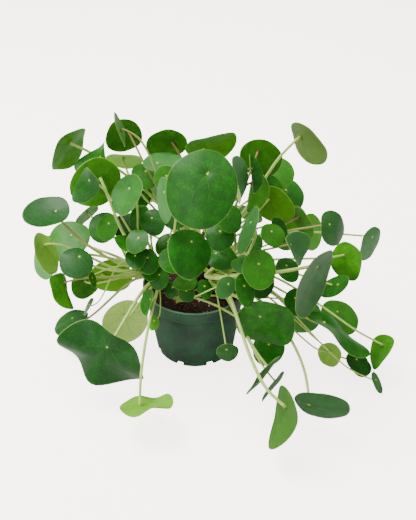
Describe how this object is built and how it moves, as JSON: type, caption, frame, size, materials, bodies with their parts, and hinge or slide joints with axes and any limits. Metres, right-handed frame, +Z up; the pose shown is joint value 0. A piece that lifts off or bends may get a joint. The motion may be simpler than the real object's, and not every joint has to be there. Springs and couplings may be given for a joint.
{
  "type": "potted pilea plant",
  "caption": "Chinese money plant with round peltate leaves on long arching petioles, growing from short stems in a tapered round nursery pot with soil.",
  "frame": {"origin": "middle of the underside of the pot's base, where the pot stands on the surface", "axes": "+Z up along the pot's axis, +X to the right and -Y towards the viewer when the plant is seen from its front"},
  "size_m": [0.5276, 0.3938, 0.358],
  "materials": {
    "pot_plastic": "satin",
    "potting_soil": "matte",
    "woody_stem": "matte",
    "leaf_green": "satin"
  },
  "bodies": {
    "root": {"pot": "pot_plastic", "soil": "potting_soil", "stem_left": "woody_stem", "stem_side": "woody_stem", "stem_right": "woody_stem", "stem_back": "woody_stem", "stem_pup": "woody_stem", "leaf_L1": "leaf_green", "leaf_L2": "leaf_green", "leaf_L3": "leaf_green", "leaf_L4": "leaf_green", "leaf_L5": "leaf_green", "leaf_L6": "leaf_green", "leaf_L7": "leaf_green", "leaf_L8": "leaf_green", "leaf_L9": "leaf_green", "leaf_L10": "leaf_green", "leaf_L11": "leaf_green", "leaf_L12": "leaf_green", "leaf_L13": "leaf_green", "leaf_L14": "leaf_green", "leaf_L15": "leaf_green", "leaf_L16b": "leaf_green", "leaf_L18": "leaf_green", "leaf_L19": "leaf_green", "leaf_L21": "leaf_green", "leaf_L22": "leaf_green", "leaf_L23": "leaf_green", "leaf_L28": "leaf_green", "leaf_R1": "leaf_green", "leaf_R2": "leaf_green", "leaf_R3": "leaf_green", "leaf_R4": "leaf_green", "leaf_R5": "leaf_green", "leaf_R7": "leaf_green", "leaf_R8": "leaf_green", "leaf_R10": "leaf_green", "leaf_R11": "leaf_green", "leaf_R12": "leaf_green", "leaf_R13": "leaf_green", "leaf_R14": "leaf_green", "leaf_R15": "leaf_green", "leaf_R18": "leaf_green", "leaf_R20": "leaf_green", "leaf_R21": "leaf_green", "leaf_R25": "leaf_green", "leaf_R29": "leaf_green", "leaf_R30": "leaf_green", "leaf_R31": "leaf_green", "leaf_R32": "leaf_green", "leaf_R33": "leaf_green", "leaf_R36": "leaf_green", "leaf_R37": "leaf_green", "leaf_R40": "leaf_green", "leaf_B1": "leaf_green", "leaf_B2": "leaf_green", "leaf_M1": "leaf_green", "leaf_B4": "leaf_green", "leaf_B6": "leaf_green", "leaf_B14": "leaf_green"}
  },
  "joints": []
}
